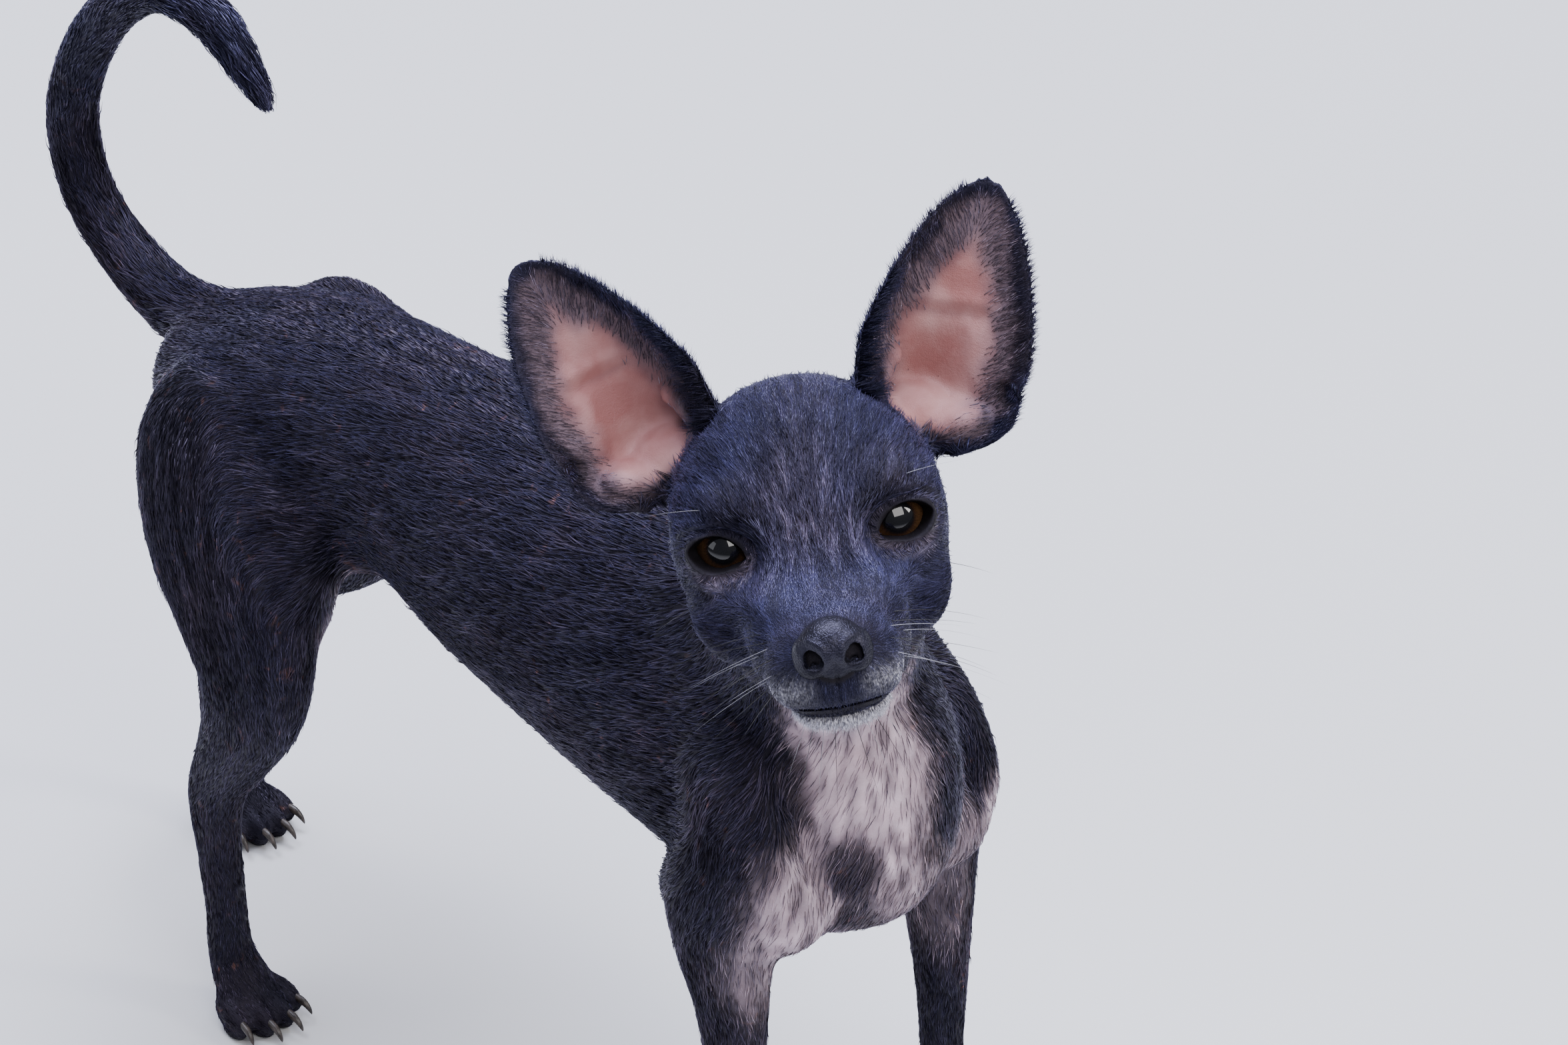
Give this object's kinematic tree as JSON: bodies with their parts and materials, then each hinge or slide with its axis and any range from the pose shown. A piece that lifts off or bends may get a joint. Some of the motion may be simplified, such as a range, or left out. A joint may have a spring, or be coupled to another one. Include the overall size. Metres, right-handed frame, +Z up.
{
  "type": "chihuahua",
  "caption": "Short-coated dog standing on four paws, head raised and turned to its right, large upright cupped ears, and a tail hooked over its back.",
  "frame": {"origin": "on the floor, below the middle of the dog's box", "axes": "the dog's trunk faces -Y, its left side is +X, +Z is up"},
  "size_m": [0.1274, 0.36, 0.3018],
  "materials": {
    "coat": "short, flat, near-black fur with a soft sheen and faint red-brown brindling",
    "ear": "bare pinkish-brown skin inside, short black fur on the rim and back",
    "nose_leather": "moist, finely pebbled, dark slate",
    "eye": "wet dark-brown eye",
    "claw_horn": "dark horn"
  },
  "bodies": {
    "root": {"head": "coat", "neck": "coat", "torso": "coat", "foreleg_left": "coat", "foreleg_right": "coat", "hindleg_left": "coat", "hindleg_right": "coat", "forepaw_left": "coat", "forepaw_right": "coat", "hindpaw_left": "coat", "hindpaw_right": "coat", "tail_base": "coat", "tail_middle": "coat", "tail_tip": "coat", "ear_left": "ear", "ear_right": "ear", "nose": "nose_leather", "eye_left": "eye", "eye_right": "eye", "forepaw_left_claw_1": "claw_horn", "forepaw_left_claw_2": "claw_horn", "forepaw_left_claw_3": "claw_horn", "forepaw_left_claw_4": "claw_horn", "forepaw_right_claw_1": "claw_horn", "forepaw_right_claw_2": "claw_horn", "forepaw_right_claw_3": "claw_horn", "forepaw_right_claw_4": "claw_horn", "hindpaw_left_claw_1": "claw_horn", "hindpaw_left_claw_2": "claw_horn", "hindpaw_left_claw_3": "claw_horn", "hindpaw_left_claw_4": "claw_horn", "hindpaw_right_claw_1": "claw_horn", "hindpaw_right_claw_2": "claw_horn", "hindpaw_right_claw_3": "claw_horn", "hindpaw_right_claw_4": "claw_horn"}
  },
  "joints": []
}
